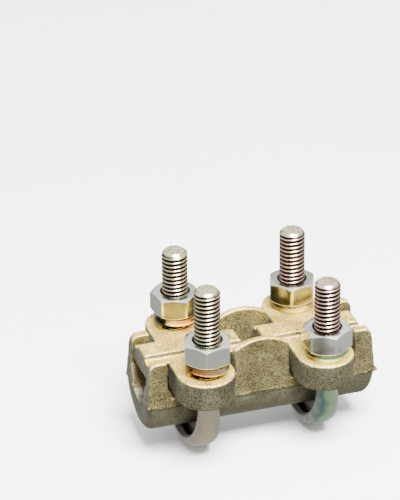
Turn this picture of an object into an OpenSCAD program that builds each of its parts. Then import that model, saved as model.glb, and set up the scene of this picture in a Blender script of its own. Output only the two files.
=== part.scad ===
// Double U-bolt connector that joins two stranded cables end to end.
//
// The cables lie in a cast trough.  Two loose saddles press on them, each
// pulled down by a U-bolt that passes under the trough and carries two nuts
// on spring washers.  X runs along the cable, Y across it and Z up.  The
// origin lies on the axis of the cable groove, half way along the trough.

/* [Trough] */
// Diameter of the round bottom of the cable groove
groove_d = 7.2; // [5:0.2:8.4]
// Slope of the groove's flared sides, from the horizontal
groove_flare = 65; // [58:1:72]
// Length of the trough at its parting line
trough_l = 54; // [51:0.5:70]
// Width of the trough at its parting line
trough_w = 17.5; // [16:0.1:22]
// Depth of the parting line below the groove axis
parting_drop = 1.8; // [1.2:0.1:2.5]
// Height of the end walls above the groove axis
wall_top = 9.2; // [7.6:0.1:10]
// Rise of the two middle arches above the end walls
arch_rise = 2.1; // [1:0.1:4]
// Thickness of an arch along its top edge
arch_edge = 1.5; // [1:0.1:2.4]
// Width of the channel that the saddles slide in
channel_w = 10.6; // [9.6:0.1:11.4]
// Height of the slot floors above the groove axis
slot_floor = 0.25; // [-0.4:0.05:0.6]
// Corner radius at the bottom of the slots
slot_r = 1; // [0.4:0.1:1.2]
// Outer corner radius of the ends, seen from the side
end_r = 1.9; // [0.6:0.1:3]
// Draft angle of every cast outer face
draft = 4; // [1:0.5:6]
// How far the casting flash stands proud of the parting line
flash = 0.15; // [0.05:0.05:0.25]
// Length of the broken gate stub on the right end
gate_l = 0.9; // [0.4:0.1:2]

/* [Saddles] */
// Length of a saddle along the cable
saddle_l = 23.5; // [20:0.1:25]
// Height of a saddle's underside above the groove axis, fully seated
saddle_z = 3.75; // [3.65:0.05:4.2]
// Thickness of a saddle under its rib
saddle_t = 3.6; // [3:0.1:5]
// Width of a saddle's rib at its top
rib_w = 5.2; // [4:0.1:7]
// Height of a saddle's rib
rib_h = 1.15; // [0.4:0.05:1.5]
// Width of a lug, which is also the diameter of its round nose
lug_w = 13.2; // [11:0.1:14.4]
// Radius of the round edges along the top of a lug
lug_round = 0.5; // [0.1:0.1:1]
// Height of the lug's nose above the slot floor
nose_lift = 0.9; // [0.4:0.1:2]
// Diameter of the bolt holes in the lugs
lug_hole = 6.8; // [6.4:0.1:7.4]
// Side play of a saddle in its channel
saddle_play = 0.2; // [0.1:0.05:0.4]
// Play of a lug in its slot, on the side of the middle arches
inner_play = 1; // [0.7:0.1:2]
// Play of a lug in its slot, on the side of the end walls
outer_play = 1.5; // [0.7:0.1:2]
// Gap between a seated lug and the slot floor
seat_gap = 0.04; // [0.02:0.01:0.1]
// How far the left saddle sits above its seat
left_lift = 0.33; // [0:0.01:0.9]
// Place of the left saddle along the cable, from its U-bolt
left_shift = -0.4; // [-0.4:0.05:0.4]
// Place of the right saddle along the cable, from its U-bolt
right_shift = -0.4; // [-0.4:0.05:0.4]

/* [U-bolts] */
// Distance between the two U-bolts along the cable
bolt_pitch = 28.1; // [27:0.1:32]
// Thread diameter over the crests
thread_d = 5.88; // [5.8:0.01:5.96]
// Diameter of the plain bar
bar_d = 5.2; // [5:0.05:5.6]
// Gap between each leg and the widest part of the trough
leg_gap = 0.375; // [0.3:0.025:1]
// Gap between the right bend and the bottom of the trough
bend_gap = 0.14; // [0.06:0.02:2]
// How much lower the left bend hangs
left_hang = 0.38; // [0:0.02:0.8]
// Height of the left front leg above the groove axis
left_front_top = 28.5; // [24:0.05:32]
// Height of the left back leg above the groove axis
left_back_top = 26.25; // [24:0.05:32]
// Height of the right front leg above the groove axis
right_front_top = 25.5; // [24:0.05:32]
// Height of the right back leg above the groove axis
right_back_top = 26.55; // [24:0.05:32]
// Height of the end of the thread above the groove axis
thread_end = 2.6; // [2:0.1:5]
// Chamfer at the tip of each leg
tip_chamfer = 0.7; // [0.3:0.05:1]

/* [Nuts] */
// Width of a nut across its flats
nut_af = 10; // [9.5:0.1:11]
// Height of a nut
nut_h = 5; // [4.4:0.1:5.6]
// Radial clearance of a nut on its thread
nut_clear = 0.05; // [0.02:0.01:0.1]
// Angle of the chamfers on a nut's corners
nut_chamfer = 30; // [20:1:35]
// Mouth diameter of the nut's countersink
nut_mouth = 6.5; // [6.1:0.05:7]
// Turn of the left front nut about its leg
left_front_turn = 10.5; // [0:0.5:60]
// Turn of the left back nut about its leg
left_back_turn = 40.5; // [0:0.5:60]
// Turn of the right front nut about its leg
right_front_turn = 32; // [0:0.5:60]
// Turn of the right back nut about its leg
right_back_turn = 10.5; // [0:0.5:60]

/* [Spring washers] */
// Outer diameter of a spring washer
washer_d = 9.9; // [9:0.1:11.8]
// Bore of a spring washer
washer_bore = 6.2; // [6.1:0.05:6.6]
// Thickness of a spring washer
washer_t = 1.6; // [1:0.05:2]
// Angle that the split takes out of the ring
split = 12; // [6:1:20]
// Spring rise of the left front washer, from one end to the other
left_front_rise = 1.6; // [0.05:0.05:1.7]
// Spring rise of the left back washer
left_back_rise = 1.55; // [0.05:0.05:1.7]
// Spring rise of the right front washer
right_front_rise = 0.1; // [0.05:0.05:1.7]
// Spring rise of the right back washer
right_back_rise = 0.15; // [0.05:0.05:1.7]
// Gap between a nut and the washer under it
washer_gap = 0.02; // [0.01:0.01:0.05]

/* [Hidden] */
$fn = 96;
eps = 0.01;
far = 200;
slope = tan(draft);

// Trough: half sizes at the parting line, and what follows from the draft
half_l = trough_l / 2;
half_w = trough_w / 2;
parting_z = -parting_drop;
bottom_z = parting_z - half_w;
arch_top = wall_top + arch_rise;
bolt_x = bolt_pitch / 2;
bolt_y = half_w + leg_gap + bar_d / 2;
slot_l = lug_w + inner_play + outer_play;
slot_x = bolt_x + (outer_play - inner_play) / 2;
arch_half = slot_x - slot_l / 2;
arch_r = (pow(arch_half, 2) + pow(arch_rise, 2)) / (2 * arch_rise);

// Groove: where the round bottom meets the flares, and the flares the channel
groove_r = groove_d / 2;
flare_y = groove_r * sin(groove_flare);
flare_z = -groove_r * cos(groove_flare);
channel_z = flare_z + (channel_w / 2 - flare_y) * tan(groove_flare);

// Saddles
plate_half = channel_w / 2 - saddle_play;
shelf_z = saddle_z + saddle_t;
rib_top = shelf_z + rib_h;
lug_z = slot_floor + seat_gap;
nose_z = slot_floor + nose_lift;
nose_y = bolt_y + lug_w / 2;

// U-bolts
thread_r = thread_d / 2;
bar_r = bar_d / 2;
bend_z = bottom_z - bend_gap - bar_r + bolt_y;

steel = [0.72, 0.68, 0.56];
nut_zinc = [0.74, 0.75, 0.71];
washer_zinc = [0.70, 0.58, 0.38];
brass = [0.66, 0.62, 0.47];
saddle_brass = [0.74, 0.69, 0.53];

// Sweeps a profile drawn in Y and Z along X, centred on the origin.
module along_x(length) {
    rotate([90, 0, 90]) linear_extrude(length, center = true) children();
}

// Sweeps a profile drawn in X and Z along Y, centred on the origin.
module along_y(length) {
    rotate([90, 0, 0]) linear_extrude(length, center = true) children();
}

// Draws a profile and its mirror image about the vertical axis.
module both_sides() {
    children();
    mirror([1, 0]) children();
}

// Half of a box whose side leans in by the draft, with a round top corner.
module drafted_half(half, z0, z1, r) {
    centre_x = half - slope * (z1 - r - z0) - r / cos(draft);
    translate([centre_x, z1 - r]) circle(r);
    polygon([
        [0, z0], [half, z0],
        [centre_x + r * cos(draft), z1 - r + r * sin(draft)],
        [centre_x, z1 - r], [centre_x, z1], [0, z1]
    ]);
}

// Outline of the trough across the cable: drafted walls on a round bottom.
module trough_section() {
    both_sides() polygon([
        [0, parting_z], [half_w, parting_z],
        [half_w - slope * (arch_top - parting_z), arch_top], [0, arch_top]
    ]);
    intersection() {
        translate([0, parting_z]) circle(half_w);
        translate([-far / 2, parting_z + eps - far]) square(far);
    }
}

// Outline of the trough from the side: end walls, slots and middle arches.
module trough_side() {
    difference() {
        union() {
            both_sides() drafted_half(half_l, parting_z, wall_top, end_r);
            translate([0, 2 * parting_z]) mirror([0, 1])
                both_sides() drafted_half(half_l, parting_z, -bottom_z + 2 * parting_z, end_r);
            intersection() {
                translate([0, arch_top - arch_r]) circle(arch_r);
                translate([-arch_half, 0]) square([2 * arch_half, arch_top + eps]);
            }
        }
        both_sides() translate([slot_x, 0]) slot_outline();
    }
}

// A slot with an open top and round inner corners.
module slot_outline() {
    half = slot_l / 2;
    both_sides() translate([half - slot_r, slot_floor + slot_r]) circle(slot_r);
    translate([-half, slot_floor + slot_r]) square([slot_l, far]);
    translate([slot_r - half, slot_floor]) square([slot_l - 2 * slot_r, far]);
}

// Room for the cable: a round groove that flares into the saddles' channel.
module cable_room() {
    circle(groove_r);
    both_sides() polygon([
        [0, flare_z], [flare_y, flare_z], [channel_w / 2, channel_z],
        [channel_w / 2 + slope * (arch_top - channel_z), arch_top + 1], [0, arch_top + 1]
    ]);
}

// Takes the inside of the arches back to a thin top edge.
module arch_relief() {
    edge_y = half_w - slope * (arch_top - parting_z) - arch_edge;
    lean = (edge_y - channel_w / 2) / (arch_top - channel_z);
    both_sides() polygon([
        [0, channel_z], [channel_w / 2, channel_z],
        [edge_y + lean, arch_top + 1], [0, arch_top + 1]
    ]);
}

module trough_body() {
    color(brass) difference() {
        union() {
            intersection() {
                along_x(trough_l) trough_section();
                along_y(trough_w) trough_side();
            }
            translate([0, 0, parting_z]) parting_flash();
        }
        along_x(far) cable_room();
        along_x(2 * arch_half) arch_relief();
    }
}

// A thin rim where the mould halves met, with the stub of the broken gate.
module parting_flash() {
    rim_h = 0.3;
    stub_r = 1.1;
    cube([trough_l + 2 * flash, trough_w + 2 * flash, rim_h], center = true);
    translate([half_l + gate_l - stub_r, stub_r - half_w, 0])
        cylinder(h = 1.1, r = stub_r, center = true);
}

// Outline of a saddle across the cable, from seat to rib.
module saddle_section() {
    chamfer = 0.5;
    shelf_half = plate_half - 1.5 * slope * saddle_t;
    both_sides() polygon([
        [0, saddle_z], [plate_half - chamfer, saddle_z], [plate_half, saddle_z + chamfer],
        [shelf_half, shelf_z], [rib_w / 2 + 0.3 * rib_h, shelf_z], [rib_w / 2, rib_top], [0, rib_top]
    ]);
}

// Outline of a lug across the cable: a foot in the slot and a raised nose.
module lug_section() {
    foot_y = channel_w / 2 + 0.3;
    both_sides() polygon([
        [0, saddle_z], [foot_y - 1, saddle_z], [foot_y, lug_z], [half_w, lug_z],
        [nose_y, nose_z], [nose_y, shelf_z], [0, shelf_z]
    ]);
}

// Outline of a lug along the cable: chamfered foot and round top edges.
module lug_profile() {
    half = lug_w / 2;
    flat = half - lug_round;
    foot_chamfer = 0.8;
    both_sides() {
        translate([flat, shelf_z - lug_round]) circle(lug_round);
        polygon([
            [0, lug_z], [half - foot_chamfer, lug_z], [half, lug_z + foot_chamfer],
            [half, shelf_z - lug_round], [flat, shelf_z - lug_round], [flat, shelf_z], [0, shelf_z]
        ]);
    }
}

// The two lugs as one bar with round noses about the bolt holes.
module lug_bar() {
    along_y(2 * bolt_y) lug_profile();
    for (side = [-1, 1]) translate([0, side * bolt_y, 0]) rotate_extrude() intersection() {
        lug_profile();
        square(far);
    }
}

// A saddle, seated, with its bolt holes at x = 0.
module saddle() {
    end_corner = 0.9;
    color(saddle_brass) difference() {
        union() {
            intersection() {
                along_x(saddle_l) saddle_section();
                along_y(channel_w) both_sides()
                    drafted_half(saddle_l / 2, saddle_z, rib_top, end_corner);
            }
            intersection() {
                lug_bar();
                along_x(lug_w) lug_section();
            }
        }
        for (side = [-1, 1]) translate([0, side * bolt_y, 0]) cylinder(h = far, d = lug_hole, center = true);
    }
}

module left_saddle() {
    translate([left_shift - bolt_x, 0, left_lift]) saddle();
}

module right_saddle() {
    translate([right_shift + bolt_x, 0, 0]) saddle();
}

// A leg above the bend: the plain bar, the thread's envelope and the tip.
module leg(top, z0) {
    translate([0, 0, z0]) cylinder(h = thread_end - z0, r = bar_r);
    translate([0, 0, thread_end]) cylinder(h = top - tip_chamfer - thread_end, r = thread_r);
    translate([0, 0, top - tip_chamfer])
        cylinder(h = tip_chamfer, r1 = thread_r, r2 = thread_r - tip_chamfer);
}

// The bend from leg to leg, about x = 0 and z = 0.
module bend() {
    rotate([0, 90, 0]) rotate([0, 0, -90]) rotate_extrude(angle = 180)
        translate([bolt_y, 0]) circle(bar_r);
}

module u_bolt(front_top, back_top, hang) {
    color(steel) union() {
        translate([0, -bolt_y, 0]) leg(front_top, bend_z - hang);
        translate([0, bolt_y, 0]) leg(back_top, bend_z - hang);
        translate([0, 0, bend_z - hang]) bend();
    }
}

module left_u_bolt() {
    translate([-bolt_x, 0, 0]) u_bolt(left_front_top, left_back_top, left_hang);
}

module right_u_bolt() {
    translate([bolt_x, 0, 0]) u_bolt(right_front_top, right_back_top, 0);
}

// A hexagon nut standing on z = 0, with both rims chamfered.
module nut() {
    corner_r = nut_af / 2 / cos(30);
    flat_r = 0.96 * nut_af / 2;
    drop = (corner_r - flat_r) * tan(nut_chamfer);
    bore_r = thread_r + nut_clear;
    sink = nut_mouth / 2 - bore_r;
    color(nut_zinc) difference() {
        intersection() {
            cylinder(h = nut_h, r = corner_r, $fn = 6);
            rotate_extrude() polygon([
                [0, 0], [flat_r, 0], [corner_r, drop],
                [corner_r, nut_h - drop], [flat_r, nut_h], [0, nut_h]
            ]);
        }
        translate([0, 0, -1]) cylinder(h = nut_h + 2, r = bore_r);
        for (z = [0, nut_h]) translate([0, 0, z]) mirror([0, 0, z > 0 ? 1 : 0])
            translate([0, 0, -eps]) cylinder(h = sink + eps, r1 = nut_mouth / 2, r2 = bore_r);
    }
}

// Puts a nut on the washer that stands on a saddle raised by lift.
module nut_at(x, y, lift, rise, turn) {
    translate([x, y, shelf_z + lift + washer_t + rise + 2 * washer_gap]) rotate(turn) nut();
}

module left_front_nut() {
    nut_at(-bolt_x, -bolt_y, left_lift, left_front_rise, left_front_turn);
}

module left_back_nut() {
    nut_at(-bolt_x, bolt_y, left_lift, left_back_rise, left_back_turn);
}

module right_front_nut() {
    nut_at(bolt_x, -bolt_y, 0, right_front_rise, right_front_turn);
}

module right_back_nut() {
    nut_at(bolt_x, bolt_y, 0, right_back_rise, right_back_turn);
}

// A split ring wound as a left-hand helix that climbs by rise from end to end.
module spring_washer(rise) {
    steps = 40;
    turn = 360 - split;
    r0 = washer_bore / 2;
    r1 = washer_d / 2;
    corners = [[r0, 0], [r1, 0], [r1, washer_t], [r0, washer_t]];
    points = [for (i = [0:steps], c = corners)
        let (a = -split / 2 - turn * i / steps)
        [c[0] * cos(a), c[0] * sin(a), c[1] + rise * i / steps]];
    sides = [for (i = [0:steps - 1], k = [0:3])
        let (a = 4 * i + k, b = 4 * i + (k + 1) % 4)
        [a, a + 4, b + 4, b]];
    last = 4 * steps;
    ends = [[0, 1, 2, 3], [last + 3, last + 2, last + 1, last]];
    color(washer_zinc) polyhedron(points, concat(sides, ends));
}

// Lays a washer on a saddle raised by lift, with its split turned to angle.
module washer_at(x, y, lift, rise, angle) {
    translate([x, y, shelf_z + lift + washer_gap]) rotate(angle) spring_washer(rise);
}

module left_front_spring_washer() {
    washer_at(-bolt_x, -bolt_y, left_lift, left_front_rise, 205);
}

module left_back_spring_washer() {
    washer_at(-bolt_x, bolt_y, left_lift, left_back_rise, 220);
}

module right_front_spring_washer() {
    washer_at(bolt_x, -bolt_y, 0, right_front_rise, 70);
}

module right_back_spring_washer() {
    washer_at(bolt_x, bolt_y, 0, right_back_rise, 110);
}

trough_body();
left_saddle();
right_saddle();
left_u_bolt();
right_u_bolt();
left_front_nut();
left_back_nut();
right_front_nut();
right_back_nut();
left_front_spring_washer();
left_back_spring_washer();
right_front_spring_washer();
right_back_spring_washer();
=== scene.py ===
"""Looks of a double U-bolt cable connector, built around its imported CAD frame.

The castings are softened copies of their CAD solids with a sand-cast skin.  The
U-bolts get their real thread and the nuts and spring washers their small
edges.  Sizes are in millimetres and become metres in the last step.
"""

import math

import bmesh
import bpy
import numpy as np
from mathutils import Matrix, Vector, noise


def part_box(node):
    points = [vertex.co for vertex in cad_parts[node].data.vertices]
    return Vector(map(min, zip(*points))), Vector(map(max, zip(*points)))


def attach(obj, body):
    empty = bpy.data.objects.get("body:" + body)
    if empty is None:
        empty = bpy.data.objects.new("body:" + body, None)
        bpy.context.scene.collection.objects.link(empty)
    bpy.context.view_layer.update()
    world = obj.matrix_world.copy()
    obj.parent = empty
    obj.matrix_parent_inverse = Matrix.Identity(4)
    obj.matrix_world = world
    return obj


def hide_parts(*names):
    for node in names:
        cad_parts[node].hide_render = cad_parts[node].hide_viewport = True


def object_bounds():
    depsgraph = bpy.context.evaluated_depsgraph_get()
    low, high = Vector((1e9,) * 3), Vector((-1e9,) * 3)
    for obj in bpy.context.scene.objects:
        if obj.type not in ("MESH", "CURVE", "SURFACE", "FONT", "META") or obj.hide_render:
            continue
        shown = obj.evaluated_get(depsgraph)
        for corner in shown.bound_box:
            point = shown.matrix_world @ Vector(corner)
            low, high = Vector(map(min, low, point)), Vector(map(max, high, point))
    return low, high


MM = 0.001

# Thread and bar of the U-bolts, with the length over which the thread runs out
PITCH = 1.0
THREAD_R = 2.94
ROOT_R = 2.42
BAR_R = 2.6
THREAD_END = 2.6
RUN_OUT = 1.4
TIP_CHAMFER = 0.7

# Places of the legs, and the heights of each bolt's front and back leg
LEG_X, LEG_Y = 14.05, 11.725
BOLT_X = {"left": -LEG_X, "right": LEG_X}
LEG_TOPS = {"left": (28.5, 26.25), "right": (25.5, 26.55)}

# The bend under the trough: its half width, how much its inside is pressed
# flat, how far its edges are pressed outwards, and the cosine of the angle
# within which the press is full
CROWN_HALF = 3.4
CROWN_PRESS = 1.9
CROWN_EDGE = 1.1
PRESS_FULL = 0.42

# Trough at its parting line, the slope of its draft, and the rounding under
# its ends
PARTING = -1.8
TROUGH_HALF_L, TROUGH_HALF_W = 27.0, 8.75
DRAFT = math.tan(math.radians(4))
END_ROUND = 1.7

# Nuts: width across flats, radius of the mouth's rim, and turn about the leg
# in degrees
NUT_AF = 10.0
NUT_MOUTH_R = 3.4
NUT_TURNS = {"left_front": 10.5, "left_back": 40.5, "right_front": 32.0, "right_back": 10.5}

# Spring washers: thickness, inner and outer radius, the angle that the split
# takes out, and for each its rise from end to end and where its split is
WASHER_T = 1.6
WASHER_R = (3.1, 4.95)
SPLIT = 12.0
WASHERS = {
    "left_front": (1.6, 205), "left_back": (1.55, 220),
    "right_front": (0.1, 70), "right_back": (0.15, 110),
}

# Brass: flanks of trough and saddle, painted light on upward faces, the trough below
# its parting line, painted shade on end faces and in the groove, painted highlights on
# edges and painted shade in hollows
TROUGH_SIDE = (0.21, 0.18, 0.085)
SADDLE_SIDE = (0.15, 0.14, 0.085)
BRASS_TOP_LIGHT = (0.80, 0.57, 0.14)
BRASS_LOW = (0.22, 0.22, 0.15)
BRASS_END_SHADE = (0.25, 0.26, 0.20)
BRASS_BORE_SHADE = (0.13, 0.095, 0.04)
BRASS_EDGE_HIGHLIGHT = (0.80, 0.66, 0.36)
BRASS_HOLLOW_SHADE = (0.07, 0.05, 0.025)

# Passivated zinc, with grey, dark olive and near black as painted shade and bright silver
# as painted highlight, and the cut ends of the legs
TEAL = (0.12, 0.21, 0.22)
ROSE = (0.62, 0.48, 0.38)
SAND = (0.56, 0.54, 0.38)
SAGE = (0.42, 0.48, 0.36)
GREEN = (0.34, 0.55, 0.28)
MINT = (0.42, 0.62, 0.40)
STRAW = (0.72, 0.66, 0.34)
CREAM = (0.80, 0.68, 0.42)
PINK = (0.78, 0.50, 0.42)
ORANGE = (0.72, 0.36, 0.13)
OLIVE_SHADE = (0.13, 0.12, 0.07)
SILVER = (0.62, 0.63, 0.58)
SILVER_HIGHLIGHT = (0.86, 0.87, 0.80)
SHADE = (0.40, 0.40, 0.34)
FAR_BEND_SHADE = (0.20, 0.20, 0.17)
DEEP_SHADE = (0.03, 0.02, 0.015)
CUT_END = [(0.35, (0.30, 0.22, 0.12)), (0.48, (0.85, 0.74, 0.42)), (0.65, (0.92, 0.86, 0.60))]

# Colours of each U-bolt from left to right, and of its threads
BOLT_COLOURS = {
    "left": [(0.15, SHADE), (0.35, ROSE), (0.55, SAND), (0.75, SAGE), (0.95, SHADE)],
    "right": [(0.15, SHADE), (0.32, TEAL), (0.50, GREEN), (0.68, MINT), (0.90, CREAM)],
}
THREAD_COLOURS = {
    "left": [(0.3, MINT), (0.45, STRAW), (0.6, SAND), (0.75, ROSE)],
    "right": [(0.3, STRAW), (0.45, ROSE), (0.6, PINK), (0.75, PINK)],
}

# Colours of the nuts across the whole part, where bright silver is painted light and
# dark olive and grey are painted shade on flanks facing to or from the light, and their roughness
NUT_COLOURS = {
    "front": [(0.2, SILVER), (0.4, SILVER_HIGHLIGHT), (0.60, OLIVE_SHADE), (0.66, SHADE), (0.72, SILVER_HIGHLIGHT)],
    "back": [(0.2, SILVER), (0.5, SHADE), (0.8, SHADE)],
}
NUT_ROUGH = {"front": 0.18, "back": 0.20}

# Colours of each washer from left to right, where dark olive is painted shade, and their
# roughness
WASHER_COLOURS = {
    "left_front": [(0.2, OLIVE_SHADE), (0.4, ORANGE), (0.6, STRAW), (0.8, GREEN)],
    "left_back": [(0.2, OLIVE_SHADE), (0.4, STRAW), (0.55, ORANGE), (0.9, ORANGE)],
    "right_front": [(0.2, OLIVE_SHADE), (0.35, MINT), (0.6, MINT), (0.9, GREEN)],
    "right_back": [(0.2, OLIVE_SHADE), (0.5, STRAW), (0.9, OLIVE_SHADE)],
}
WASHER_ROUGH = {"left_front": 0.24, "left_back": 0.24, "right_front": 0.24, "right_back": 0.26}

# Studio light by height: 0 is straight down, 0.5 the horizon and 1 straight up
SKY = [
    (0.0, (0.36, 0.35, 0.33)), (0.42, (0.27, 0.27, 0.26)), (0.54, (0.23, 0.23, 0.23)),
    (0.75, (0.75, 0.75, 0.76)), (1.0, (1.0, 1.0, 1.0)),
]
SKY_STRENGTH = 2.2

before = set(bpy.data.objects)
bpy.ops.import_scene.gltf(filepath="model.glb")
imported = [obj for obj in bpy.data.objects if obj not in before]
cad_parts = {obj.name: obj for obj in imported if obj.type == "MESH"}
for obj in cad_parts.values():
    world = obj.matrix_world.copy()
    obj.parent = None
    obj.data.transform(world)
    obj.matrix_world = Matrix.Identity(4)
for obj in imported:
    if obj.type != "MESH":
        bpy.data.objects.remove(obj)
cad_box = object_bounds()


# --- Materials --------------------------------------------------------------

def fill_ramp(node, stops):
    """Sets a colour ramp's stops, which are (position, colour) pairs."""
    elements = node.color_ramp.elements
    while len(elements) < len(stops):
        elements.new(0.5)
    for element, (place, colour) in zip(elements, stops):
        element.position = place
        element.color = (*colour, 1.0)


class Material:
    """A material with a Principled shader and short calls for its nodes."""

    def __init__(self, name):
        self.material = bpy.data.materials.new(name)
        self.material.use_nodes = True
        self.nodes = self.material.node_tree.nodes
        self.links = self.material.node_tree.links
        self.shader = self.nodes["Principled BSDF"]
        coord = self.nodes.new("ShaderNodeTexCoord")
        self.coord = coord.outputs["Object"]
        self.normal = coord.outputs["Normal"]

    def join(self, source, target):
        self.links.new(source, target)

    def noise(self, scale, detail, rough=0.55, distortion=0.0):
        """Noise over the piece; scale is in cells per metre."""
        node = self.nodes.new("ShaderNodeTexNoise")
        node.inputs["Scale"].default_value = scale
        node.inputs["Detail"].default_value = detail
        node.inputs["Roughness"].default_value = rough
        node.inputs["Distortion"].default_value = distortion
        self.join(self.coord, node.inputs["Vector"])
        return node.outputs["Fac"]

    def pointiness(self):
        """How sharp the surface is: above 0.5 on edges and below it in hollows."""
        return self.nodes.new("ShaderNodeNewGeometry").outputs["Pointiness"]

    def ramp(self, source, stops):
        """Colours by a value; stops are (position, colour) pairs."""
        node = self.nodes.new("ShaderNodeValToRGB")
        fill_ramp(node, stops)
        self.join(source, node.inputs["Fac"])
        return node.outputs["Color"]

    def spread(self, source, low, high, from_low=0.3, from_high=0.7):
        """Maps a value from one range onto another, and holds it at the ends."""
        node = self.nodes.new("ShaderNodeMapRange")
        node.inputs["From Min"].default_value = from_low
        node.inputs["From Max"].default_value = from_high
        node.inputs["To Min"].default_value = low
        node.inputs["To Max"].default_value = high
        self.join(source, node.inputs["Value"])
        return node.outputs["Result"]

    def mix(self, a, b, factor, mode="MIX"):
        """Mixes two colours; each is a tuple or a node's output."""
        node = self.nodes.new("ShaderNodeMix")
        node.data_type = "RGBA"
        node.blend_type = mode
        for socket, value in ((node.inputs[6], a), (node.inputs[7], b), (node.inputs[0], factor)):
            if isinstance(value, tuple):
                socket.default_value = (*value, 1.0)
            elif isinstance(value, float):
                socket.default_value = value
            else:
                self.join(value, socket)
        return node.outputs[2]

    def split(self, vector):
        """The X, Y and Z of a vector."""
        node = self.nodes.new("ShaderNodeSeparateXYZ")
        self.join(vector, node.inputs["Vector"])
        return node.outputs

    def math(self, operation, a, b=0.0):
        """One sum on two values; each is a number or a node's output."""
        node = self.nodes.new("ShaderNodeMath")
        node.operation = operation
        for socket, value in zip(node.inputs, (a, b)):
            if isinstance(value, (int, float)):
                socket.default_value = value
            else:
                self.join(value, socket)
        return node.outputs[0]

    def times(self, a, b):
        return self.math("MULTIPLY", a, b)

    def length(self, a, b):
        """Length of the vector (a, b)."""
        return self.math("SQRT", self.math("ADD", self.times(a, a), self.times(b, b)))

    def leg_distance(self, x, y):
        """Distance from the axis of the nearest leg."""
        return self.length(
            self.math("SUBTRACT", self.math("ABSOLUTE", x), LEG_X * MM),
            self.math("SUBTRACT", self.math("ABSOLUTE", y), LEG_Y * MM))

    def bump(self, source, depth):
        """Relief whose full height is depth, in mm."""
        node = self.nodes.new("ShaderNodeBump")
        node.inputs["Strength"].default_value = 1.0
        node.inputs["Distance"].default_value = depth * MM
        self.join(source, node.inputs["Height"])
        return node.outputs["Normal"]

    def finish(self, colour, metallic, rough, relief):
        """Joins what varies over the surface to the shader."""
        self.join(colour, self.shader.inputs["Base Color"])
        self.shader.inputs["Metallic"].default_value = metallic
        self.join(rough, self.shader.inputs["Roughness"])
        self.join(relief, self.shader.inputs["Normal"])
        return self.material


def cast_brass(name, side, low=None):
    """Sand-cast brass: speckled, golden on top by painted light and so duller and darker on its
    sides, with painted shade on its end faces, groove and hollows and painted highlights on its
    edges.

    side is the colour of its flanks, and low that of the smoother finish below
    the parting line.
    """
    m = Material(name)
    grain = m.noise(3000, 3, 0.65)
    blotch = m.noise(240, 5, 0.6)
    across, _, facing = m.split(m.normal)
    _, beside, height = m.split(m.coord)
    # painted light: upward faces high on the part turn golden, as if lit from above
    top_light = m.times(m.spread(facing, 0.0, 1.0, 0.30, 0.80),
                    m.spread(height, 0.15, 1.0, 1.0 * MM, 3.0 * MM))
    colour = m.mix(side, BRASS_TOP_LIGHT, top_light)
    # painted shade in the groove and the holes round the axis
    bore = m.spread(m.length(beside, height), 0.8, 0.0, 4.4 * MM, 5.2 * MM)
    colour = m.mix(colour, BRASS_BORE_SHADE, bore)
    # painted shade on the end faces
    end = m.spread(m.math("ABSOLUTE", across), 0.0, 0.75, 0.80, 0.97)
    colour = m.mix(colour, BRASS_END_SHADE, end)
    pit = (0.20, 0.18, 0.14)
    speckle = m.ramp(grain, [(0.36, pit), (0.46, (0.85, 0.85, 0.84)), (0.64, (1.60, 1.60, 1.60))])
    if low is not None:
        # the finish changes at a wandering height, with a dark line along it
        wander = m.math("ADD", height, m.spread(blotch, -0.3 * MM, 0.3 * MM))
        under = m.spread(wander, 1.0, 0.0, (PARTING - 0.2) * MM, (PARTING + 0.1) * MM)
        colour = m.mix(colour, low, m.times(under, 0.75))
        speckle = m.mix(speckle, (0.85, 0.85, 0.85), m.times(under, 0.5))
        off_line = m.math("ABSOLUTE", m.math("SUBTRACT", wander, (PARTING - 0.15) * MM))
        speckle = m.mix(pit, speckle, m.spread(off_line, 0.25, 1.0, 0.0, 0.3 * MM))
    colour = m.mix(colour, speckle, 1.0, "MULTIPLY")
    stain = m.ramp(blotch, [(0.35, (0.72, 0.70, 0.66)), (0.65, (1.12, 1.12, 1.12))])
    colour = m.mix(colour, stain, 1.0, "MULTIPLY")
    sharp = m.pointiness()
    # painted highlight on sharp edges that face upwards
    edge_highlight = m.times(m.spread(sharp, 0.0, 0.8, 0.52, 0.59), m.spread(facing, 0.0, 1.0, 0.05, 0.40))
    colour = m.mix(colour, BRASS_EDGE_HIGHLIGHT, edge_highlight)
    # painted shade in the hollows
    colour = m.mix(colour, BRASS_HOLLOW_SHADE, m.spread(sharp, 0.8, 0.0, 0.42, 0.49))
    return m.finish(colour, 0.85, m.spread(blotch, 0.42, 0.55), m.bump(grain, 0.18))


def drifting_zinc(name, middle, half, stops):
    """Starts a zinc plate whose passivation drifts in colour from left to right.

    middle and half are the middle and half width of the drift, in mm.
    """
    m = Material(name)
    x = m.split(m.coord)[0]
    run = m.spread(x, 0.0, 0.6, (middle - half) * MM, (middle + half) * MM)
    drift = m.math("ADD", run, m.times(m.noise(170, 1, 0.5, 0.4), 0.4))
    return m, m.ramp(drift, stops)


def finish_zinc(m, colour, rough):
    """Gives a zinc plate its gloss, with a very fine unevenness."""
    uneven = m.spread(m.noise(500, 3, 0.5), rough - 0.04, rough + 0.06)
    return m.finish(colour, 1.0, uneven, m.bump(m.noise(1500, 2, 0.5), 0.004))


def bend_height(side):
    """Height of the centre of a U-bolt's bend, in mm."""
    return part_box(side + "_u_bolt")[0].z / MM + LEG_Y + BAR_R


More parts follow.
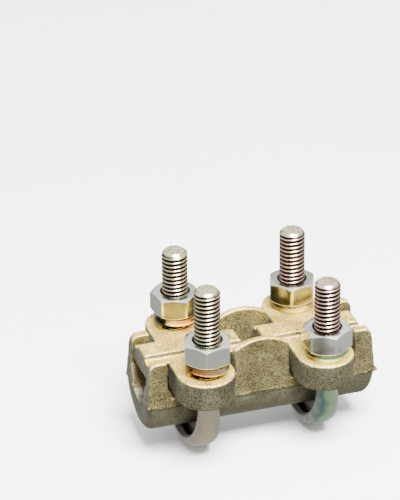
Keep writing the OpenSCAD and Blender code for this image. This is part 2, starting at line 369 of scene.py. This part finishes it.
def zinc_bolt(side):
    """A U-bolt with painted shade on the far half and inside of its bend and in its thread roots.
    """
    m, colour = drifting_zinc("zinc_" + side + "_bolt", BOLT_X[side], BAR_R, BOLT_COLOURS[side])
    x, y, z = m.split(m.coord)
    bend_z = bend_height(side)
    low = m.spread(z, 1.0, 0.0, (bend_z - 1.5) * MM, (bend_z + 0.5) * MM)
    # painted shade on the far half of the bend, below its middle
    far_shade = m.spread(y, 0.0, 0.7, -6 * MM, -1 * MM)
    colour = m.mix(colour, FAR_BEND_SHADE, m.times(far_shade, low))
    # painted shade, near black, on the inside of the bend under the trough
    drop = m.math("MINIMUM", m.math("SUBTRACT", z, bend_z * MM), 0.0)
    inside = m.spread(m.length(drop, y), 1.0, 0.0, LEG_Y * MM, (LEG_Y + 0.5) * MM)
    colour = m.mix(colour, DEEP_SHADE, m.times(inside, low))

    threaded = m.spread(z, 0.0, 1.0, THREAD_END * MM, (THREAD_END + 0.6) * MM)
    colour = m.mix(colour, m.ramp(m.noise(420, 1, 0.5), THREAD_COLOURS[side]), threaded)
    front_top, back_top = LEG_TOPS[side]
    top = m.spread(y, front_top * MM, back_top * MM, -MM, MM)
    below_tip = m.spread(m.math("SUBTRACT", top, z), 0.0, 1.0, 0.5 * MM, 0.9 * MM)
    # painted shade, near black, in the thread roots
    root_shade = m.spread(m.leg_distance(x, y), 1.0, 0.0, (ROOT_R + 0.33) * MM, (THREAD_R - 0.01) * MM)
    colour = m.mix(colour, DEEP_SHADE, m.times(root_shade, m.times(threaded, below_tip)))

    flat = m.spread(m.split(m.normal)[2], 0.0, 1.0, 0.90, 0.97)
    tip = m.times(flat, m.spread(below_tip, 1.0, 0.0, 0.0, 1.0))
    colour = m.mix(colour, m.ramp(m.noise(1100, 2, 0.6, 1.5), CUT_END), tip)
    return finish_zinc(m, colour, 0.24)


def zinc_nut(end):
    """A nut with painted highlights on its edges and painted shade in its mouth; a back nut
    has painted shade on all flanks but the one that faces left."""
    m, colour = drifting_zinc("zinc_" + end + "_nut", 0, 20, NUT_COLOURS[end])
    x, y, _ = m.split(m.coord)
    if end == "back":
        # painted shade on a back nut's flanks, but the one that faces left
        across, _, facing = m.split(m.normal)
        turned = m.spread(across, 0.0, 1.0, -0.95, -0.82)
        upright = m.spread(facing, 1.0, 0.0, 0.1, 0.3)
        colour = m.mix(colour, OLIVE_SHADE, m.times(turned, upright))
    # painted highlight on the nut's edges
    colour = m.mix(colour, SILVER_HIGHLIGHT, m.spread(m.pointiness(), 0.0, 0.9, 0.505, 0.54))
    # painted shade, near black, in the nut's mouth
    mouth = m.spread(m.leg_distance(x, y), 0.95, 0.0, NUT_MOUTH_R * MM, (NUT_MOUTH_R + 0.15) * MM)
    colour = m.mix(colour, DEEP_SHADE, mouth)
    return finish_zinc(m, colour, NUT_ROUGH[end])


def zinc_washer(place):
    """A spring washer, whose colours drift across its own width."""
    middle = BOLT_X[place.split("_")[0]]
    name = "zinc_" + place + "_washer"
    m, colour = drifting_zinc(name, middle, 5, WASHER_COLOURS[place])
    return finish_zinc(m, colour, WASHER_ROUGH[place])


def pale_floor():
    m = Material("pale_floor")
    pale = m.ramp(m.noise(30, 2), [(0.3, (0.86, 0.86, 0.86)), (0.7, (0.88, 0.88, 0.88))])
    m.join(pale, m.shader.inputs["Base Color"])
    m.shader.inputs["Roughness"].default_value = 0.7
    return m.material


# --- Meshes -----------------------------------------------------------------

def add_piece(name, mesh, material):
    piece = bpy.data.objects.new(name, mesh)
    bpy.context.scene.collection.objects.link(piece)
    mesh.materials.clear()
    mesh.materials.append(material)
    mesh.shade_smooth()
    return piece


def stand_for(piece, node, body):
    """Makes a piece replace a CAD node and move with its body."""
    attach(piece, body)
    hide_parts(node)


def node_span(node):
    """Lowest and highest corner of a CAD node, in mm."""
    low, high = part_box(node)
    return low / MM, high / MM


def skin(name, rings, material, smooth_angle, closed=False):
    """A surface through rings of points in mm; open ends are capped."""
    count = len(rings[0])
    vertices = [Vector(p) * MM for ring in rings for p in ring]
    faces = []
    spans = len(rings) if closed else len(rings) - 1
    for i in range(spans):
        a, b = i * count, (i + 1) % len(rings) * count
        for k in range(count):
            n = (k + 1) % count
            faces.append((a + k, a + n, b + n, b + k))
    if not closed:
        faces.append(tuple(reversed(range(count))))
        faces.append(tuple(range((len(rings) - 1) * count, len(rings) * count)))
    mesh = bpy.data.meshes.new(name)
    mesh.from_pydata(vertices, [], faces)
    shape = bmesh.new()
    shape.from_mesh(mesh)
    bmesh.ops.recalc_face_normals(shape, faces=shape.faces)
    shape.to_mesh(mesh)
    shape.free()
    piece = add_piece(name, mesh, material)
    mesh.set_sharp_from_angle(angle=math.radians(smooth_angle))
    return piece


# --- Castings ---------------------------------------------------------------

def apply_modifiers(piece):
    """Replaces the piece's mesh with what its modifiers make of it."""
    graph = bpy.context.evaluated_depsgraph_get()
    mesh = bpy.data.meshes.new_from_object(piece.evaluated_get(graph))
    piece.modifiers.clear()
    old, piece.data = piece.data, mesh
    bpy.data.meshes.remove(old)


def round_under_ends(places):
    """Rounds the edge between the trough's belly and its end faces; in mm."""
    x, y, z = places.T
    drop = PARTING - z
    belly = np.hypot(y, drop)
    end = TROUGH_HALF_L - DRAFT * drop
    past_x = np.abs(x) - (end - END_ROUND)
    past_r = belly - (TROUGH_HALF_W - END_ROUND)
    reach = np.hypot(past_x, past_r)
    cut = (drop > 0) & (past_x > 0) & (past_r > 0) & (reach > END_ROUND)
    keep = END_ROUND / reach[cut]
    radius = (TROUGH_HALF_W - END_ROUND + past_r[cut] * keep) / belly[cut]
    places[cut, 0] = np.sign(x[cut]) * (end[cut] - END_ROUND + past_x[cut] * keep)
    places[cut, 1] = y[cut] * radius
    places[cut, 2] = PARTING - drop[cut] * radius


def make_casting(node, body, material, voxel, relief):
    """A softened copy of a cast CAD solid, with a sand-cast skin in its mesh.

    voxel is the size of its mesh and relief the height of the skin, in mm.
    """
    piece = add_piece("sand_cast_" + body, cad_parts[node].data.copy(), material)
    remesh = piece.modifiers.new("remesh", "REMESH")
    remesh.mode = "VOXEL"
    remesh.voxel_size = voxel * MM
    soften = piece.modifiers.new("soften", "SMOOTH")
    soften.factor = 0.5
    soften.iterations = 3
    apply_modifiers(piece)
    mesh = piece.data
    places = np.zeros(len(mesh.vertices) * 3, np.float32)
    normals = np.zeros(len(mesh.vertices) * 3, np.float32)
    mesh.vertices.foreach_get("co", places)
    mesh.vertices.foreach_get("normal", normals)
    places, normals = places.reshape(-1, 3) / MM, normals.reshape(-1, 3)
    if node == "trough_body":
        round_under_ends(places)
    # fine grains on broader unevenness, mostly sunk below the surface
    grain = np.array([
        noise.noise(Vector(p) * 1.9) * 0.6 + noise.noise(Vector(p) * 0.55) * 0.4
        for p in places])
    places = (places + normals * ((grain - 0.35) * relief)[:, None]) * MM
    low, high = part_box(node)
    places = np.clip(places, np.array(low), np.array(high)).astype(np.float32)
    mesh.vertices.foreach_set("co", places.ravel())
    mesh.update()
    mesh.shade_smooth()
    stand_for(piece, node, body)


# --- U-bolts ----------------------------------------------------------------

RING = 48
RING_ANGLES = [2 * math.pi * k / RING for k in range(RING)]
RINGS_PER_TURN = 14
BAR_STEPS = 12
BEND_STEPS = 48


def thread_radius(z, angle, top):
    """Radius of the thread at height z on a leg whose top is at top."""
    phase = (z / PITCH - angle / (2 * math.pi)) % 1.0
    crest, flank = 0.16, 0.78
    depth = min(max((abs(phase - 0.5) * 2 - crest) / flank, 0.0), 1.0)
    radius = THREAD_R - depth * (THREAD_R - ROOT_R)
    run_out = min(max((z - THREAD_END) / RUN_OUT, 0.0), 1.0)
    radius = BAR_R + (radius - BAR_R) * run_out
    cone = THREAD_R - TIP_CHAMFER + (top - z)
    return min(radius, cone)


def leg_rings(x, y, top, bottom):
    """Rings of a leg from its top down to the bend."""
    def ring(z, radii):
        return [(x + r * math.cos(a), y + r * math.sin(a), z) for a, r in zip(RING_ANGLES, radii)]

    rings = [ring(top, [r] * RING) for r in (0.6, 1.6)]
    z = top
    while z > THREAD_END:
        rings.append(ring(z, [thread_radius(z, a, top) for a in RING_ANGLES]))
        z -= PITCH / RINGS_PER_TURN
    for i in range(BAR_STEPS):
        z = THREAD_END + (bottom - THREAD_END) * i / BAR_STEPS
        rings.append(ring(z, [BAR_R] * RING))
    return rings


def bend_ring(x, z, turn):
    """Ring of the bend at an angle turn from straight down, pressed flat inside."""
    down = max(math.cos(turn), 0.0)
    press = min(1.0, down / PRESS_FULL)
    press = press * press * (3 - 2 * press)
    half = BAR_R + (CROWN_HALF - BAR_R) * down ** 2
    inner = BAR_R - CROWN_PRESS * press
    edge = CROWN_EDGE * press
    points = []
    for a in RING_ANGLES:
        out = -math.sin(a)
        if out < 0:
            radius = LEG_Y + edge - (inner + edge) * abs(out) ** (1 - 0.6 * press)
        else:
            radius = LEG_Y + edge + (BAR_R - edge) * out
        points.append((
            x + half * math.cos(a), -radius * math.sin(turn), z - radius * math.cos(turn)))
    return points


def make_u_bolt(side):
    node = side + "_u_bolt"
    low, high = node_span(node)
    x = (low.x + high.x) / 2
    bend_z = bend_height(side)
    front_top, back_top = LEG_TOPS[side]
    rings = leg_rings(x, -LEG_Y, front_top, bend_z)
    for i in range(BEND_STEPS + 1):
        rings.append(bend_ring(x, bend_z, math.radians(90 - 180 * i / BEND_STEPS)))
    # the back leg is walked upwards, mirrored so that its rings line up
    for ring in reversed(leg_rings(x, LEG_Y, back_top, bend_z)):
        rings.append([ring[-k] for k in range(RING)])
    piece = skin(side + "_threaded_u_bolt", rings, zinc_bolt(side), 40)
    stand_for(piece, node, node)


# --- Nuts -------------------------------------------------------------------

def hexagon_radius(angle, half_flat, corner):
    """Distance from the centre to a hexagon with round corners of radius corner."""
    a = abs((angle + math.pi / 6) % (math.pi / 3) - math.pi / 6)
    # the corner's circle stands at 30 degrees
    cx = half_flat - corner
    cy = cx * math.tan(math.pi / 6)
    if half_flat * math.tan(a) <= cy:
        return half_flat / math.cos(a)
    dot = cx * math.cos(a) + cy * math.sin(a)
    return dot + math.sqrt(max(dot * dot - cx * cx - cy * cy + corner * corner, 0.0))


def nut_section(outer, height):
    """Section of a nut, from the middle of its bore over its top and under its bottom."""
    bore = THREAD_R + 0.04
    flat_r = 0.96 * NUT_AF / 2
    edge = 0.12
    drop = max(outer - flat_r, 0.0) * math.tan(math.radians(30))
    upper = [
        (bore, height - (NUT_MOUTH_R - bore)),
        (NUT_MOUTH_R - 0.04, height - 0.05), (NUT_MOUTH_R + 0.06, height),
        (NUT_MOUTH_R + 0.25, height), (flat_r - 0.30, height),
        (flat_r - 0.12, height), (flat_r, height - 0.03),
        (flat_r + (outer - flat_r) * 0.5, height - 0.02 - drop * 0.5),
        (outer - edge * 0.7, height - 0.02 - max(drop - edge * 0.4, 0.0)),
        (outer, height - edge - drop), (outer, height - edge * 2 - drop),
    ]
    lower = [(r, height - z) for r, z in reversed(upper)]
    return [(bore, height * 0.5)] + upper + lower


def make_nut(place, material):
    node = place + "_nut"
    low, high = node_span(node)
    centre = (low + high) / 2
    turn = math.radians(NUT_TURNS[place] + 30)
    steps = 144
    rings = []
    for k in range(steps):
        a = 2 * math.pi * k / steps
        outer = hexagon_radius(a, NUT_AF / 2, 0.22)
        x, y = math.cos(a + turn), math.sin(a + turn)
        rings.append([
            (centre.x + r * x, centre.y + r * y, low.z + z)
            for r, z in nut_section(outer, high.z - low.z)])
    piece = skin(place + "_hex_nut", rings, material, 24, closed=True)
    stand_for(piece, node, node)


# --- Spring washers ---------------------------------------------------------

def make_washer(place, body):
    node = place + "_spring_washer"
    low, high = node_span(node)
    centre = (low + high) / 2
    rise, split_angle = WASHERS[place]
    inner, outer = WASHER_R
    edge = 0.16
    section = [
        (inner + edge, 0), (outer - edge, 0), (outer - edge * 0.3, edge * 0.3), (outer, edge),
        (outer, WASHER_T - edge), (outer - edge * 0.3, WASHER_T - edge * 0.3),
        (outer - edge, WASHER_T), (inner + edge, WASHER_T),
        (inner + edge * 0.3, WASHER_T - edge * 0.3), (inner, WASHER_T - edge),
        (inner, edge), (inner + edge * 0.3, edge * 0.3),
    ]
    steps = 96
    rings = []
    for i in range(steps + 1):
        a = math.radians(split_angle - SPLIT / 2 - (360 - SPLIT) * i / steps)
        lift = low.z + rise * i / steps
        rings.append([
            (centre.x + r * math.cos(a), centre.y + r * math.sin(a), lift + z)
            for r, z in section])
    piece = skin(place + "_split_ring", rings, zinc_washer(place), 35)
    stand_for(piece, node, body)


# --- Stage ------------------------------------------------------------------

def add_floor():
    """A floor just under the part, which takes its shadow and throws no light back."""
    mesh = bpy.data.meshes.new("floor")
    half, gap = 2.0, 0.02 * MM
    mesh.from_pydata(
        [(-half, -half, 0), (half, -half, 0), (half, half, 0), (-half, half, 0)],
        [], [(0, 1, 2, 3)])
    mesh.materials.append(pale_floor())
    floor = bpy.data.objects.new("floor", mesh)
    floor.location.z = cad_box[0][2] - gap
    floor.visible_diffuse = False
    floor.visible_glossy = False
    bpy.context.scene.collection.objects.link(floor)


def add_softbox():
    """One softbox overhead, slightly in front."""
    data = bpy.data.lights.new("softbox_top", "AREA")
    data.shape = "RECTANGLE"
    data.size, data.size_y = 0.34, 0.30
    data.energy = 36.0
    light = bpy.data.objects.new("softbox_top", data)
    light.location = (0.02, -0.30, 0.60)
    light.rotation_euler = (-light.location).to_track_quat("-Z", "Y").to_euler()
    bpy.context.scene.collection.objects.link(light)


def add_world():
    """A studio that is bright overhead and dim round the horizon and below it."""
    world = bpy.data.worlds.new("studio")
    world.use_nodes = True
    tree = world.node_tree
    coord = tree.nodes.new("ShaderNodeTexCoord")
    split = tree.nodes.new("ShaderNodeSeparateXYZ")
    height = tree.nodes.new("ShaderNodeMapRange")
    height.inputs["From Min"].default_value = -1.0
    ramp = tree.nodes.new("ShaderNodeValToRGB")
    fill_ramp(ramp, SKY)
    background = tree.nodes["Background"]
    background.inputs["Strength"].default_value = SKY_STRENGTH
    tree.links.new(coord.outputs["Generated"], split.inputs["Vector"])
    tree.links.new(split.outputs["Z"], height.inputs["Value"])
    tree.links.new(height.outputs["Result"], ramp.inputs["Fac"])
    tree.links.new(ramp.outputs["Color"], background.inputs["Color"])
    bpy.context.scene.world = world


def add_camera():
    """A long lens, whose target lies right of and below the middle of the view."""
    azimuth, elevation = math.radians(18.9), math.radians(29.96)
    distance, target = 0.7, Vector((0, 0, 0.00924))
    right_slope, down_slope = 0.0162455, 0.0258187
    forward = Vector((
        math.sin(azimuth) * math.cos(elevation),
        math.cos(azimuth) * math.cos(elevation),
        -math.sin(elevation),
    ))
    right = Vector((math.cos(azimuth), -math.sin(azimuth), 0))
    straight = Matrix((right, right.cross(forward), -forward)).transposed()
    ray = Vector((right_slope, -down_slope, -1)).normalized()
    turn = ray.rotation_difference(Vector((0, 0, -1))).to_matrix()
    data = bpy.data.cameras.new("camera")
    data.sensor_width = 36
    data.lens = 223.3728
    data.clip_start, data.clip_end = 0.01, 20
    camera = bpy.data.objects.new("camera", data)
    camera.matrix_world = (
        Matrix.Translation(target - forward * distance) @ (straight @ turn).to_4x4())
    bpy.context.scene.collection.objects.link(camera)
    bpy.context.scene.camera = camera


add_camera()
add_floor()
add_world()
add_softbox()

trough_brass = cast_brass("cast_brass_trough", TROUGH_SIDE, BRASS_LOW)
saddle_brass = cast_brass("cast_brass_saddle", SADDLE_SIDE)
nut_zinc = {end: zinc_nut(end) for end in ("front", "back")}

make_casting("trough_body", "trough", trough_brass, 0.30, 0.07)
for side in ("left", "right"):
    saddle = side + "_saddle"
    make_casting(saddle, saddle, saddle_brass, 0.22, 0.05)
    make_u_bolt(side)
    for end in ("front", "back"):
        make_nut(side + "_" + end, nut_zinc[end])
        make_washer(side + "_" + end, saddle)
